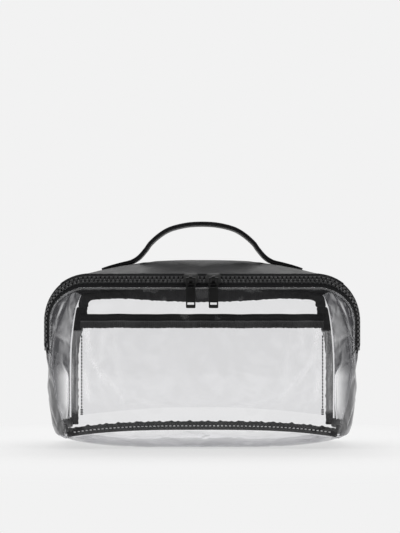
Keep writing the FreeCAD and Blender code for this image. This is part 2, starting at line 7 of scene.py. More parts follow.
import bpy
import numpy as np
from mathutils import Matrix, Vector


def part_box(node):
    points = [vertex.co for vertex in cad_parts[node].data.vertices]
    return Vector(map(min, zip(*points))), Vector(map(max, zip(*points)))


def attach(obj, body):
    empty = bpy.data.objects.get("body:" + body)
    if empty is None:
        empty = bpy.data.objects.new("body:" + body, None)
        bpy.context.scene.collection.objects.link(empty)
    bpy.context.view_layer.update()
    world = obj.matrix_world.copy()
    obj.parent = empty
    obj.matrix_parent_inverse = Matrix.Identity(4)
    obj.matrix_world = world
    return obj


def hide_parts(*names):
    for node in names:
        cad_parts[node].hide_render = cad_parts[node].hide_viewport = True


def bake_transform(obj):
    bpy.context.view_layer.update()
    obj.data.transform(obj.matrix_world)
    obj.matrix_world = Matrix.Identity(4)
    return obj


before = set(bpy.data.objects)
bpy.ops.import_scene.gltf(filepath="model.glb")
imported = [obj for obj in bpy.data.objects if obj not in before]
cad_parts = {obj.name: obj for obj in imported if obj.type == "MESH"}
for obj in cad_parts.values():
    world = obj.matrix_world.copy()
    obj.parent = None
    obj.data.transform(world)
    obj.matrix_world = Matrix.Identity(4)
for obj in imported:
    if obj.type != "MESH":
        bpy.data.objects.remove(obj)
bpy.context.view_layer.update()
MM = 0.001


def node_box(node):
    """(lowest, highest) corner of a CAD node, in millimetres."""
    low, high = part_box(node)
    return np.array(low) * 1000, np.array(high) * 1000


FLAP_LOW, FLAP_HIGH = node_box("front_panel_upper")
BASE_HIGH = node_box("base_panel")[1]
BACK_HIGH = node_box("back_panel")[1]
POCKET_LOW, POCKET_HIGH = node_box("pocket_panel")
TRIM_LOW, TRIM_HIGH = node_box("pocket_binding")

FRONT_Y = FLAP_LOW[1]
BACK_Y = BACK_HIGH[1]

# How late a bowed sheet curves between its middle and its seam: 2 would be a parabola
BOW = 2.2

# Base: half lengths at the front seam, at the back seam and in the middle, and its seams' heights
BASE_HALF_LENGTH = 120.2
BASE_BACK_HALF_LENGTH = 127.0
BASE_MIDDLE_HALF_LENGTH = BASE_HIGH[0]
BASE_HALF_DEPTH = 56.0
BASE_FLAT_HALF_LENGTH = 40.0
BASE_SIDE_RISE = 11.0
FRONT_SEAM_HEIGHT = 16.3
FRONT_SEAM_CORNER_DROP = 6.8
FRONT_CORNER_Z = 9.5
BACK_BOTTOM_SEAM_Z = 13.0

# Front sheet
FLAP_HALF_WIDTH = FLAP_HIGH[0]
FLAP_TOP = FLAP_HIGH[2]
FLAP_FOOT_Z = 79.5
SHEET_SIDE = [(120.2, 9.5), (124.0, 27.0), (128.9, 45.0), (132.1, 64.0), (FLAP_HALF_WIDTH, FLAP_FOOT_Z)]

# The side wall's outer line (x, z) at the front seam, half way back and at the back seam
GUSSET_FRONT = np.array([(120.8, 11.5), (123.5, 25.0), (128.5, 43.0), (132.0, 64.0), (137.0, 82.0),
                         (140.7, 98.0), (140.6, 113.5), (135.9, 132.5), (127.6, 143.5), (124.4, 146.0)])
GUSSET_MIDDLE = np.array([(133.8, 11.4), (136.6, 19.0), (139.2, 36.0), (140.2, 60.0), (140.4, 82.0),
                          (140.5, 98.0), (140.0, 114.5), (135.6, 132.5), (127.2, 143.5), (124.0, 146.2)])
GUSSET_BACK = np.array([(127.1, 14.0), (127.2, 24.0), (127.2, 42.0), (127.2, 64.0), (127.0, 82.0),
                        (126.0, 98.0), (123.8, 115.0), (121.2, 128.0), (117.0, 137.8), (115.0, 140.4)])
GUSSET_FRONT_Y = -55.9
GUSSET_BACK_Y = 55.2

# Zip: straight along the top, then round two corners and down the sides
ZIP_HALF_STRAIGHT = 101.5
ZIP_TOP = 148.4
ZIP_TOP_Y = -50.5
ZIP_SIDE_SHIFT = 1.9
ZIP_RADIUS = 36.0
ZIP_CORNER = ZIP_RADIUS * math.pi / 2
ZIP_CENTRE_Z = ZIP_TOP - ZIP_RADIUS
TAPE_END_Z = 84.0

# Dome
TOP_HALF_LENGTH = 126.0
TOP_BACK_NARROWING = 10.5
TOP_FRONT_DEPTH = 44.0
TOP_BACK_DEPTH = 56.0
CROWN_HEIGHT = 168.7
CROWN_END_DROP = 23.4
TOP_EDGE_LIFT = 6.6
TOP_EDGE_REACH = 4.5
BACK_SEAM_HEIGHT = 145.5
BACK_SEAM_END_DROP = 5.5

X = np.array([1.0, 0.0, 0.0])
Y = np.array([0.0, 1.0, 0.0])
Z = np.array([0.0, 0.0, 1.0])


# Curves and grids

def point(x, y, z):
    return np.array([x, y, z], float)


def unit(v):
    return v / np.linalg.norm(v)


def smooth_line(points, count):
    """count points along a smooth curve through the given points (Catmull-Rom, evenly by distance)."""
    p = np.array(points, float)
    p = np.vstack([2 * p[0] - p[1], p, 2 * p[-1] - p[-2]])
    dense = []
    for a, b, c, d in zip(p, p[1:], p[2:], p[3:]):
        for t in np.linspace(0, 1, 24, endpoint=False):
            dense.append(0.5 * (2 * b + (c - a) * t + (2 * a - 5 * b + 4 * c - d) * t ** 2
                                + (3 * b - a - 3 * c + d) * t ** 3))
    dense = np.array(dense + [p[-2]])
    run = np.concatenate([[0], np.cumsum(np.linalg.norm(np.diff(dense, axis=0), axis=1))])
    stops = np.linspace(0, run[-1], count)
    return np.stack([np.interp(stops, run, dense[:, k]) for k in range(dense.shape[1])], axis=1)


def ripple(t, seed, waves=(3, 7, 13)):
    """A smooth irregular wave in -1..1 along t in 0..1, the same on every run."""
    rng = np.random.default_rng(seed)
    total = np.zeros_like(np.asarray(t, float))
    for n in waves:
        total = total + np.sin(2 * math.pi * (n * np.asarray(t) + rng.random())) / len(waves)
    return total


def mesh_piece(name, points, faces, look):
    """A mesh object from points in millimetres."""
    mesh = bpy.data.meshes.new(name)
    mesh.from_pydata([tuple(p) for p in np.asarray(points) * MM], [], faces)
    mesh.materials.append(look)
    mesh.update()
    mesh.polygons.foreach_set("use_smooth", [True] * len(mesh.polygons))
    piece = bpy.data.objects.new(name, mesh)
    bpy.context.scene.collection.objects.link(piece)
    return piece


def grid_faces(rows, columns, close=False):
    """Quads of a grid of points stored row by row. close joins the last column to the first."""
    faces = []
    for i in range(rows - 1):
        for j in range(columns if close else columns - 1):
            a = i * columns + j
            b = i * columns + (j + 1) % columns
            faces.append((a, b, b + columns, a + columns))
    return faces


def grid_piece(name, grid, look):
    """A sheet from rows of points."""
    rows, columns = grid.shape[:2]
    return mesh_piece(name, grid.reshape(-1, 3), grid_faces(rows, columns), look)


def swept(name, sections, look):
    """A closed solid through closed cross-sections that all have as many points."""
    sections = np.array(sections)
    rows, columns = sections.shape[:2]
    faces = grid_faces(rows, columns, close=True)
    faces.append(tuple(range(columns))[::-1])
    faces.append(tuple(range((rows - 1) * columns, rows * columns)))
    return mesh_piece(name, sections.reshape(-1, 3), faces, look)


def rounded_strip(middle, wide, thick, half_width, half_thickness):
    """A strip's cross-section with rounded edges, as 12 points."""
    r = half_thickness
    across = [(half_width, 0.0), (half_width - 0.3 * r, 0.7), (half_width - r, 1.0),
              (0.35 * half_width, 1.0), (-0.35 * half_width, 1.0), (-half_width + r, 1.0),
              (-half_width + 0.3 * r, 0.7), (-half_width, 0.0), (-half_width + 0.3 * r, -0.7),
              (-half_width + r, -1.0), (half_width - r, -1.0), (half_width - 0.3 * r, -0.7)]
    return [middle + wide * a + thick * (b * r) for a, b in across]


def crease_sharp(piece, degrees=40):
    """Keeps a smooth-shaded piece's hard edges hard."""
    piece.data.set_sharp_from_angle(angle=math.radians(degrees))
    return piece


def thicken(piece, millimetres):
    """Gives a sheet its thickness, on the inside of its outward faces."""
    solid = piece.modifiers.new("Thickness", "SOLIDIFY")
    solid.thickness = millimetres * MM
    solid.offset = -1.0
    solid.use_even_offset = True


def soften(piece, millimetres, segments=2):
    """Rounds a hard piece's edges."""
    bevel = piece.modifiers.new("Edges", "BEVEL")
    bevel.width = millimetres * MM
    bevel.segments = segments
    bevel.limit_method = "ANGLE"
    bevel.angle_limit = math.radians(35)
    piece.data.polygons.foreach_set("use_smooth", [True] * len(piece.data.polygons))


def settle(piece, held, pressure, slack, farthest=4.0, frames=16):
    """Lets a sheet buckle and fill out between its held points with a short cloth simulation."""
    rest = np.array([v.co for v in piece.data.vertices])
    group = piece.vertex_groups.new(name="held")
    group.add([int(i) for i in held], 1.0, "REPLACE")
    cloth = piece.modifiers.new("Cloth", "CLOTH")
    settings = cloth.settings
    settings.quality = 6
    settings.mass = 0.25
    settings.tension_stiffness = 40
    settings.compression_stiffness = 40
    settings.shear_stiffness = 30
    settings.bending_stiffness = 3
    settings.air_damping = 4
    settings.vertex_group_mass = "held"
    settings.shrink_min = -slack
    settings.use_pressure = True
    settings.uniform_pressure_force = pressure
    settings.effector_weights.gravity = 0
    cloth.point_cache.frame_start = 1
    cloth.point_cache.frame_end = frames
    for number in range(1, frames + 1):
        bpy.context.scene.frame_set(number)
    graph = bpy.context.evaluated_depsgraph_get()
    shaped = piece.evaluated_get(graph).to_mesh()
    moved = np.array([v.co for v in shaped.vertices]) - rest
    piece.evaluated_get(graph).to_mesh_clear()
    piece.modifiers.remove(cloth)
    piece.vertex_groups.remove(group)
    bpy.context.scene.frame_set(1)
    length = np.linalg.norm(moved, axis=1, keepdims=True)
    moved *= np.minimum(1.0, farthest * MM / np.maximum(length, 1e-9))
    piece.data.vertices.foreach_set("co", (rest + moved).astype(np.float32).ravel())
    piece.data.update()
    return piece


def refine(piece):
    """Rounds a settled sheet with finer faces."""
    smoother = piece.modifiers.new("Smooth", "SUBSURF")
    smoother.levels = 1
    smoother.render_levels = 1
    smoother.boundary_smooth = "PRESERVE_CORNERS"
    graph = bpy.context.evaluated_depsgraph_get()
    mesh = bpy.data.meshes.new_from_object(piece.evaluated_get(graph))
    piece.modifiers.clear()
    piece.data = mesh
    return piece


def grid_border(rows, columns, depth=1):
    """Indices of a grid's outer points, depth rows deep."""
    return [i * columns + j for i in range(rows) for j in range(columns)
            if min(i, j, rows - 1 - i, columns - 1 - j) < depth]


# Looks

def new_look(name):
    """A node material, with its tree emptied, and its output."""
    look = bpy.data.materials.new(name)
    look.use_nodes = True
    tree = look.node_tree
    tree.nodes.clear()
    output = tree.nodes.new("ShaderNodeOutputMaterial")
    return look, tree, output


def add(tree, kind, **values):
    """A node with its inputs set by name. Names that start with _ are the node's own settings."""
    node = tree.nodes.new(kind)
    for key, value in values.items():
        if key.startswith("_"):
            setattr(node, key[1:], value)
        else:
            node.inputs[key.replace("_", " ")].default_value = value
    return node


def places(tree, scale=(1, 1, 1)):
    """Object coordinates, scaled."""
    where = tree.nodes.new("ShaderNodeTexCoord")
    mapping = add(tree, "ShaderNodeMapping", Scale=scale)
    tree.links.new(where.outputs["Object"], mapping.inputs["Vector"])
    return mapping.outputs["Vector"]


def noise(tree, vector, scale, detail=4.0, rough=0.5):
    node = add(tree, "ShaderNodeTexNoise", Scale=scale, Detail=detail, Roughness=rough)
    tree.links.new(vector, node.inputs["Vector"])
    return node.outputs["Fac"]


def ramp(tree, value, low, high, out_low=0.0, out_high=1.0):
    """Maps a value from low..high to out_low..out_high."""
    node = tree.nodes.new("ShaderNodeMapRange")
    limits = {"From Min": low, "From Max": high, "To Min": out_low, "To Max": out_high}
    for key, number in limits.items():
        node.inputs[key].default_value = number
    tree.links.new(value, node.inputs["Value"])
    return node.outputs["Result"]


def bump(tree, height, strength, distance, under=None):
    node = add(tree, "ShaderNodeBump", Strength=strength, Distance=distance * MM)
    tree.links.new(height, node.inputs["Height"])
    if under is not None:
        tree.links.new(under, node.inputs["Normal"])
    return node.outputs["Normal"]


def mixed_colour(tree, share, first, second):
    node = tree.nodes.new("ShaderNodeMix")
    node.data_type = "RGBA"
    node.inputs[6].default_value = (*first, 1)
    node.inputs[7].default_value = (*second, 1)
    tree.links.new(share, node.inputs[0])
    return node.outputs[2]


def arithmetic(tree, operation, first, second):
    """A maths node's result. Each operand is a number or a socket."""
    node = tree.nodes.new("ShaderNodeMath")
    node.operation = operation
    for socket, value in zip(node.inputs, (first, second)):
        if isinstance(value, (int, float)):
            socket.default_value = value
        else:
            tree.links.new(value, socket)
    return node.outputs[0]


def facing_tint(tree, facing, clearest, darkest, turning):
    """How much light passes: less as the sheet turns edge-on, between the two turning values."""
    turned = tree.nodes.new("ShaderNodeMapRange")
    turned.interpolation_type = "SMOOTHSTEP"
    turned.inputs["From Min"].default_value = turning[0]
    turned.inputs["From Max"].default_value = turning[1]
    tree.links.new(facing, turned.inputs["Value"])
    eye = mixed_colour(tree, turned.outputs["Result"], clearest, darkest)
    path = tree.nodes.new("ShaderNodeLightPath")
    shadow = tree.nodes.new("ShaderNodeMix")
    shadow.data_type = "RGBA"
    shadow.inputs[7].default_value = (0.95, 0.95, 0.95, 1)
    tree.links.new(path.outputs["Is Shadow Ray"], shadow.inputs[0])
    tree.links.new(eye, shadow.inputs[6])
    return shadow.outputs[2]


def vinyl_look(name, clearest, darkest, painted_glint=0.0, turning=(0.38, 0.92)):
    """Clear soft PVC: tinted and mirror-like seen edge-on, wobbly and scuffed. A point attribute mixes in
    white, partly real whitening at its creases and partly painted highlights and painted reflection
    streaks; its lowest share paints a highlight over the whole sheet.
    """
    look, tree, output = new_look(name)
    vector = places(tree)
    ripples = bump(tree, noise(tree, vector, 70, 2, 0.5), 0.30, 0.5)
    normal = bump(tree, noise(tree, vector, 16, 2, 0.4), 0.35, 2.5, ripples)
    weight = add(tree, "ShaderNodeLayerWeight", Blend=0.5)
    tree.links.new(normal, weight.inputs["Normal"])
    facing = weight.outputs["Facing"]
    through = tree.nodes.new("ShaderNodeBsdfTransparent")
    tree.links.new(facing_tint(tree, facing, clearest, darkest, turning), through.inputs["Color"])
    shine = add(tree, "ShaderNodeBsdfGlossy", Color=(0.95, 0.95, 0.96, 1))
    scuffs = noise(tree, vector, 60, 6, 0.7)
    tree.links.new(ramp(tree, scuffs, 0.45, 0.75, 0.04, 0.2), shine.inputs["Roughness"])
    tree.links.new(normal, shine.inputs["Normal"])
    mirrored = arithmetic(tree, "POWER", facing, 4.5)
    film = blended(tree, ramp(tree, mirrored, 0.0, 1.0, 0.035, 0.8), through, shine)
    white = add(tree, "ShaderNodeBsdfTranslucent", Color=(0.9, 0.9, 0.9, 1))
    matt = add(tree, "ShaderNodeBsdfDiffuse", Color=(0.92, 0.92, 0.92, 1))
    milky_and_glint = tree.nodes.new("ShaderNodeAddShader")
    tree.links.new(white.outputs[0], milky_and_glint.inputs[0])
    tree.links.new(matt.outputs[0], milky_and_glint.inputs[1])
    crease = add(tree, "ShaderNodeAttribute", _attribute_name="crease")
    share = ramp(tree, crease.outputs["Fac"], 0.0, 1.0, painted_glint, 0.9)
    tree.links.new(blended(tree, share, film, milky_and_glint).outputs[0], output.inputs["Surface"])
    return look


def blended(tree, share, first, second):
    """A mix of two shaders."""
    mix = tree.nodes.new("ShaderNodeMixShader")
    tree.links.new(share, mix.inputs[0])
    tree.links.new(first.outputs[0], mix.inputs[1])
    tree.links.new(second.outputs[0], mix.inputs[2])
    return mix


def solid_look(name, colour, worn, rough, height, strength, distance, gloss=0.5, coat=0.0):
    """An opaque look: a colour with lighter wear, uneven roughness and the relief that height makes."""
    look, tree, output = new_look(name)
    vector = places(tree)
    body = add(tree, "ShaderNodeBsdfPrincipled")
    patches = noise(tree, vector, 45, 5, 0.6)
    tint = mixed_colour(tree, ramp(tree, patches, 0.4, 0.75), colour, worn)
    tree.links.new(tint, body.inputs["Base Color"])
    tree.links.new(ramp(tree, patches, 0.3, 0.7, rough[0], rough[1]), body.inputs["Roughness"])
    body.inputs["Specular IOR Level"].default_value = gloss
    body.inputs["Coat Weight"].default_value = coat
    body.inputs["Coat Roughness"].default_value = 0.12
    tree.links.new(bump(tree, height(tree, vector), strength, distance), body.inputs["Normal"])
    tree.links.new(body.outputs[0], output.inputs["Surface"])
    return look


def seen_through(look, low, high):
    """Makes a look half see-through between two heights, in millimetres, in uneven upright streaks."""
    tree = look.node_tree
    vector = places(tree)
    height = tree.nodes.new("ShaderNodeSeparateXYZ")
    tree.links.new(vector, height.inputs[0])
    above = ramp(tree, height.outputs["Z"], (high - 4) * MM, high * MM)
    below = ramp(tree, height.outputs["Z"], low * MM, (low - 10) * MM)
    streaks = ramp(tree, noise(tree, places(tree, (1, 1, 0.06)), 420, 3, 0.6), 0.35, 0.65, 0.35, 0.75)
    share = arithmetic(tree, "MAXIMUM", arithmetic(tree, "MAXIMUM", above, below), streaks)
    output = next(node for node in tree.nodes if node.type == "OUTPUT_MATERIAL")
    body = output.inputs["Surface"].links[0].from_node
    clear = tree.nodes.new("ShaderNodeBsdfTransparent")
    tree.links.new(blended(tree, share, clear, body).outputs[0], output.inputs["Surface"])


def grain(tree, vector):
    """Pebbled leather grain about 0.8 mm across."""
    cells = add(tree, "ShaderNodeTexVoronoi", Scale=1250.0, _feature="SMOOTH_F1", Smoothness=0.6)
    tree.links.new(vector, cells.inputs["Vector"])
    return cells.outputs["Distance"]


def weave(tree, vector):
    """Crossed threads about 0.5 mm apart."""
    threads = []
    for direction in ("X", "Z"):
        wave = add(tree, "ShaderNodeTexWave", Scale=300.0, Distortion=0.6, _bands_direction=direction)
        tree.links.new(vector, wave.inputs["Vector"])
        threads.append(wave.outputs["Fac"])
    return arithmetic(tree, "MULTIPLY", *threads)


def ribs(tree, vector):
    """Fine ribs across a binding, about 0.9 mm apart."""
    wave = add(tree, "ShaderNodeTexWave", Scale=170.0, Distortion=1.2, Detail=2.0, _bands_direction="X")
    tree.links.new(vector, wave.inputs["Vector"])
    return wave.outputs["Fac"]


def twist(tree, vector):
    """The slanted plies of a thread."""
    wave = add(tree, "ShaderNodeTexWave", Scale=700.0, Distortion=0.3, _bands_direction="DIAGONAL")
    tree.links.new(vector, wave.inputs["Vector"])
    return wave.outputs["Fac"]


def moulding(tree, vector):
    """The faint orange peel of moulded or enamelled parts."""
    return noise(tree, vector, 900, 3, 0.5)


VINYL = vinyl_look("clear_vinyl", (0.94, 0.94, 0.945), (0.12, 0.12, 0.125))
SIDE_VINYL = vinyl_look("side_vinyl", (0.93, 0.93, 0.935), (0.08, 0.08, 0.085), turning=(0.1, 0.62))
BASE_VINYL = vinyl_look("base_vinyl", (0.94, 0.94, 0.945), (0.6, 0.6, 0.61), turning=(0.1, 0.7))
# Doubled vinyl edge: darker for its two layers, with a white haze that is a painted highlight
EDGE_VINYL_PAINTED_GLINT = vinyl_look("folded_vinyl_edge_painted_glint", (0.82, 0.82, 0.83), (0.35, 0.35, 0.36), 0.06)
LEATHER = solid_look("black_faux_leather", (0.012, 0.012, 0.013), (0.022, 0.022, 0.023), (0.42, 0.58),
                     grain, 0.35, 0.08, 0.2)
TAPE = solid_look("zip_tape_weave", (0.008, 0.008, 0.009), (0.014, 0.014, 0.015), (0.7, 0.9), weave,
                  0.5, 0.12, 0.15)
BINDING = solid_look("ribbed_binding", (0.011, 0.011, 0.012), (0.035, 0.035, 0.037), (0.4, 0.7), ribs,
                     0.6, 0.2, 0.35)
BACK_SEAM = solid_look("back_seam_binding", (0.01, 0.01, 0.011), (0.03, 0.03, 0.032), (0.4, 0.7), ribs,
                       0.4, 0.15, 0.3)
seen_through(BACK_SEAM, 34, 106)
TEETH = solid_look("moulded_teeth", (0.009, 0.009, 0.01), (0.018, 0.018, 0.019), (0.25, 0.42), moulding,
                   0.1, 0.05, 0.3)
ENAMEL = solid_look("black_enamel", (0.006, 0.006, 0.006), (0.011, 0.011, 0.011), (0.28, 0.4), moulding,
                    0.06, 0.04, 0.18, 0.05)
TRIM = solid_look("pocket_trim", (0.008, 0.008, 0.009), (0.02, 0.02, 0.021), (0.45, 0.7), ribs,
                  0.4, 0.15, 0.25)
# A lighter band along the trim's ridge: a painted highlight
TRIM_PAINTED_HIGHLIGHT = solid_look("pocket_trim_painted_highlight", (0.06, 0.06, 0.062), (0.12, 0.12, 0.122), (0.3, 0.5), ribs,
                        0.4, 0.15, 0.5)
TRIM_GATHERS = solid_look("pocket_trim_gathers", (0.018, 0.018, 0.019), (0.06, 0.06, 0.062),
                          (0.35, 0.6), ribs, 0.8, 0.25, 0.4)
THREAD = solid_look("black_thread", (0.012, 0.012, 0.013), (0.03, 0.03, 0.03), (0.5, 0.7), twist,
                    0.6, 0.1, 0.3)
# Pale grey thread: the front bottom row's light dots are painted glints
PAINTED_GLINT_THREAD = solid_look("thread_painted_glint", (0.5, 0.5, 0.51), (0.75, 0.75, 0.76), (0.25, 0.4), twist,
                           0.6, 0.1, 0.6)


# The bag's shape

def front_seam_height(x):
    """Height of the seam between the front sheet and the base: it is highest in the middle."""
    return FRONT_SEAM_HEIGHT - FRONT_SEAM_CORNER_DROP * abs(x / BASE_HALF_LENGTH) ** 3


def side_seam_x(y):
    """The right end of the base at one depth: it bows outwards between its corners."""
    corner = BASE_HALF_LENGTH if y < 0 else BASE_BACK_HALF_LENGTH
    return BASE_MIDDLE_HALF_LENGTH + (corner - BASE_MIDDLE_HALF_LENGTH) * abs(y / BASE_HALF_DEPTH) ** BOW


def base_height(x, y):
    """Height of the base, half its thickness above the table where it rests."""
    past_flat = max(abs(x) - BASE_FLAT_HALF_LENGTH, 0.0)
    side = BASE_SIDE_RISE * (past_flat / (side_seam_x(y) - BASE_FLAT_HALF_LENGTH)) ** BOW
    seam = front_seam_height(x) if y < 0 else BACK_BOTTOM_SEAM_Z
    return max(side + (seam - side) * abs(y / BASE_HALF_DEPTH) ** 8 - 0.2, 0.25)


def zip_frame(distance):
    """Point, and directions along, across to the rear half and outwards, at a place on the zip."""
    side = 1.0 if distance >= 0 else -1.0
    past = abs(distance) - ZIP_HALF_STRAIGHT
    turn = min(max(past / ZIP_RADIUS, 0.0), math.pi / 2)
    down = max(past - ZIP_CORNER, 0.0)
    sideways = math.sin(turn) ** 2
    tilt = math.radians(43.0 + 25.0 * sideways)
    where = point(side * (min(abs(distance), ZIP_HALF_STRAIGHT) + ZIP_RADIUS * math.sin(turn)),
                  ZIP_TOP_Y + ZIP_SIDE_SHIFT * sideways,
                  ZIP_TOP - ZIP_RADIUS * (1 - math.cos(turn)) - down)
    along = point(math.cos(turn), 0, -side * math.sin(turn))
    outline = point(side * math.sin(turn), 0, math.cos(turn))
    across = outline * math.cos(tilt) + Y * math.sin(tilt)
    out = outline * math.sin(tilt) - Y * math.cos(tilt)
    return where, along, across, out


def zip_stations(end, step=3.0):
    """Distances from one end of the zip to the other."""
    return np.linspace(-end, end, int(2 * end / step) + 1)


def front_half_width(z):
    """Half width of the front sheet at one height."""
    xs, zs = zip(*SHEET_SIDE)
    past_corner = max(z - ZIP_CENTRE_Z, 0.0) / (FLAP_TOP - ZIP_CENTRE_Z)
    corner = (FLAP_HALF_WIDTH - ZIP_HALF_STRAIGHT) * math.sqrt(max(1 - past_corner ** 2, 0.0))
    return float(np.interp(z, zs, xs)) if z < FLAP_FOOT_Z else ZIP_HALF_STRAIGHT + corner


def bulge(u, z):
    """How far the filled front sheet stands forward of its seams."""
    return 1.6 * math.sin(math.pi * min(max((z - 14.0) / 106.0, 0.0), 1.0)) ** 1.3 * (1 - u ** 4)


def front_sheet():
    """The clear front, one sheet from the base to the zip."""
    corner = np.sin(np.linspace(0.1, math.pi / 2, 15)) * (FLAP_TOP - ZIP_CENTRE_Z)
    heights = list(np.linspace(FRONT_CORNER_Z, ZIP_CENTRE_Z, 42)) + list(ZIP_CENTRE_Z + corner)
    shares = np.linspace(-1, 1, 91)
    rows = []
    for z in heights:
        fade = max(0.0, 1 - (z - FRONT_CORNER_Z) / 60.0) ** 2
        row = []
        for u in shares:
            x = u * front_half_width(z)
            lift = (front_seam_height(x) - FRONT_CORNER_Z) * fade
            row.append(point(x, FRONT_Y - bulge(u, z), z + lift))
        rows.append(row)
    sheet = grid_piece("front_sheet", np.array(rows), VINYL)
    settle(sheet, grid_border(len(rows), len(shares), 2), 0.6, 0.004, 0.6)
    refine(sheet)
    bend_at_fold(sheet)
    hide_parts("front_panel_lower", "front_panel_upper")


def bend_at_fold(piece):
    """Bakes a piece's placement into its mesh."""
    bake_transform(piece)


# Across the folded edge: distance inwards as a share of its width, and height above the sheet
HEM_SECTION = [(-0.08, -0.9), (0.0, 0.1), (0.15, 0.55), (0.45, 0.7), (0.75, 0.55), (1.0, 0.1)]


def front_hem():
    """The front sheet's doubled edge, from one lower corner over the top to the other; its white haze is
    a painted highlight.
    """
    width, height = FLAP_HALF_WIDTH - ZIP_HALF_STRAIGHT, FLAP_TOP - ZIP_CENTRE_Z
    corner = [(ZIP_HALF_STRAIGHT + width * math.cos(a), ZIP_CENTRE_Z + height * math.sin(a))
              for a in np.linspace(0, math.pi / 2, 9)]
    right = SHEET_SIDE + [(FLAP_HALF_WIDTH, 96.0)] + corner + [(60.0, FLAP_TOP), (0.0, FLAP_TOP)]
    outline = smooth_line([(x, 0, z) for x, z in right], 220)
    outline = np.vstack([outline, outline[-2::-1] * point(-1, 1, 1)])
    waver = ripple(np.linspace(0, 1, len(outline)), 61, (19, 31, 57))
    rows = []
    for i, p in enumerate(outline):
        travel = unit(outline[min(i + 1, len(outline) - 1)] - outline[max(i - 1, 0)])
        inward = np.cross(travel, Y)
        width = 1.8 + 0.12 * waver[i]
        rows.append([p + inward * (width * a) + Y * (FRONT_Y - 0.1 - h) for a, h in HEM_SECTION])
    hem = grid_piece("front_sheet_hem", np.array(rows), EDGE_VINYL_PAINTED_GLINT)
    bend_at_fold(hem)


def back_half_width(z):
    """Half width of the back sheet at one height."""
    xs, zs = zip(*GUSSET_BACK)
    return float(np.interp(z, zs, xs))


def back_and_base_sheet():
    """The clear base and back, one sheet from the front seam, under the bag and up to the top seam."""
    shares = np.linspace(-1, 1, 81)
    rows = []
    for angle in np.linspace(-math.pi / 2, math.pi / 2, 49):
        y = BASE_HALF_DEPTH * math.sin(angle)
        rows.append([point(u * side_seam_x(y), y, base_height(u * side_seam_x(y), y)) for u in shares])
    flat = [i * len(shares) + j for i, row in enumerate(rows) for j, p in enumerate(row) if p[2] < 0.4]
    for t in np.linspace(0, 1, 46)[1:]:
        row = []
        for u in shares:
            top = BACK_HIGH[2] - 6.0 * abs(u) ** 5
            z = BACK_BOTTOM_SEAM_Z + (top - BACK_BOTTOM_SEAM_Z) * t
            row.append(point(u * back_half_width(z), BACK_Y, z))
        rows.append(row)
    sheet = grid_piece("back_and_base_sheet", np.array(rows), BASE_VINYL)
    settle(sheet, grid_border(len(rows), len(shares)) + flat, 0.3, 0.004, 1.5)
    refine(sheet)
    finish_piece(sheet, "shell", "clear_vinyl", "base_panel", "back_panel")


def gusset_point(y, share):
    """A point of the right side wall, at one depth and a share of the way up."""
    edge, edge_y = (GUSSET_FRONT, GUSSET_FRONT_Y) if y < 0 else (GUSSET_BACK, GUSSET_BACK_Y)
    bowed = min(y / edge_y, 1.0) ** BOW
    line = GUSSET_MIDDLE * (1 - bowed) + edge * bowed
    place = share * (len(line) - 1)
    x, z = (float(np.interp(place, range(len(line)), line[:, k])) for k in (0, 1))
    return point(x, y, z)


# Half width of a fold's white line, partly real stress whitening and partly a painted highlight, and the
# push at which it is white
CREASE_HALF_WIDTH = 1.7
WHITEST_PUSH = 7.5

# Folds of the side wall: start and end (y, z), how far they push it in, and their half width
FOLDS = [((39.0, 8.0), (41.0, 68.0), 7.5, 8.0), ((-52.0, 68.0), (36.0, 18.0), -1.2, 5.0),
         ((-46.0, 62.0), (26.0, 112.0), 2.4, 7.0), ((-36.0, 122.0), (48.0, 96.0), -1.6, 6.0),
         ((8.0, 70.0), (30.0, 132.0), 1.8, 5.0), ((-40.0, 20.0), (-10.0, 50.0), 1.6, 5.0)]


def folded_in(y, z, folds):
    """How far a set of folds pushes a sheet in at (y, z), and how white their lines are there."""
    depth, whitest = 0.0, 0.0
    for start, end, push, width in folds:
        start, end, here = np.array(start), np.array(end), np.array([y, z])
        length = np.linalg.norm(end - start)
        along = (end - start) / length
        run = (here - start) @ along / length
        away = abs((here - start) @ np.array([-along[1], along[0]]))
        fade = math.exp(-(max(abs(run - 0.5) - 0.38, 0.0) / 0.16) ** 2)
        depth += push * fade * math.exp(-away / width)
        white = min(abs(push) / WHITEST_PUSH, 1.0) ** 1.5
        whitest = max(whitest, fade * white * math.exp(-(away / CREASE_HALF_WIDTH) ** 2))
    return depth, whitest


def side_gusset(side, name, seed):
    """A clear side wall with its standing folds. Above the fold line it ends at the zip's rear tape."""
    rng = np.random.default_rng(seed)
    folds = [(a, b, push * rng.uniform(0.85, 1.1), width) for a, b, push, width in FOLDS]
    for _ in range(5):
        a = rng.uniform((-40, 25), (40, 110))
        folds.append((a, a + rng.uniform((-15, -30), (25, 30)), rng.uniform(-0.3, 0.9), 3.5))
    shares, depths = np.linspace(0, 1, 85), np.linspace(0, 1, 81)
    rows, whites_and_glints = [], []
    for t in depths:
        row = []
        for share in shares:
            edge = gusset_point(GUSSET_FRONT_Y, share)[2]
            front = GUSSET_FRONT_Y + 15.6 * min(max((edge - 75.0) / 8.0, 0.0), 1.0)
            p = gusset_point(front + (GUSSET_BACK_Y - front) * t, share)
            held = min(1.0, 3.2 * math.sin(math.pi * t) * math.sin(math.pi * share) ** 0.7)
            depth, white = folded_in(p[1], p[2], folds)
            whites_and_glints.append(white * held)
            row.append((p - X * depth * held) * point(side, 1, 1))
        rows.append(row)
    sheet = grid_piece(name + "_sheet", np.array(rows), SIDE_VINYL)
    # The fold lines' white is partly stress whitening and partly a painted highlight
    mark_whites_and_glints(sheet, whites_and_glints)
    if side < 0:
        sheet.data.flip_normals()
    settle(sheet, grid_border(len(depths), len(shares)), 0.2, 0.004, 1.5)
    refine(sheet)
    finish_piece(sheet, "shell", "clear_vinyl", name)


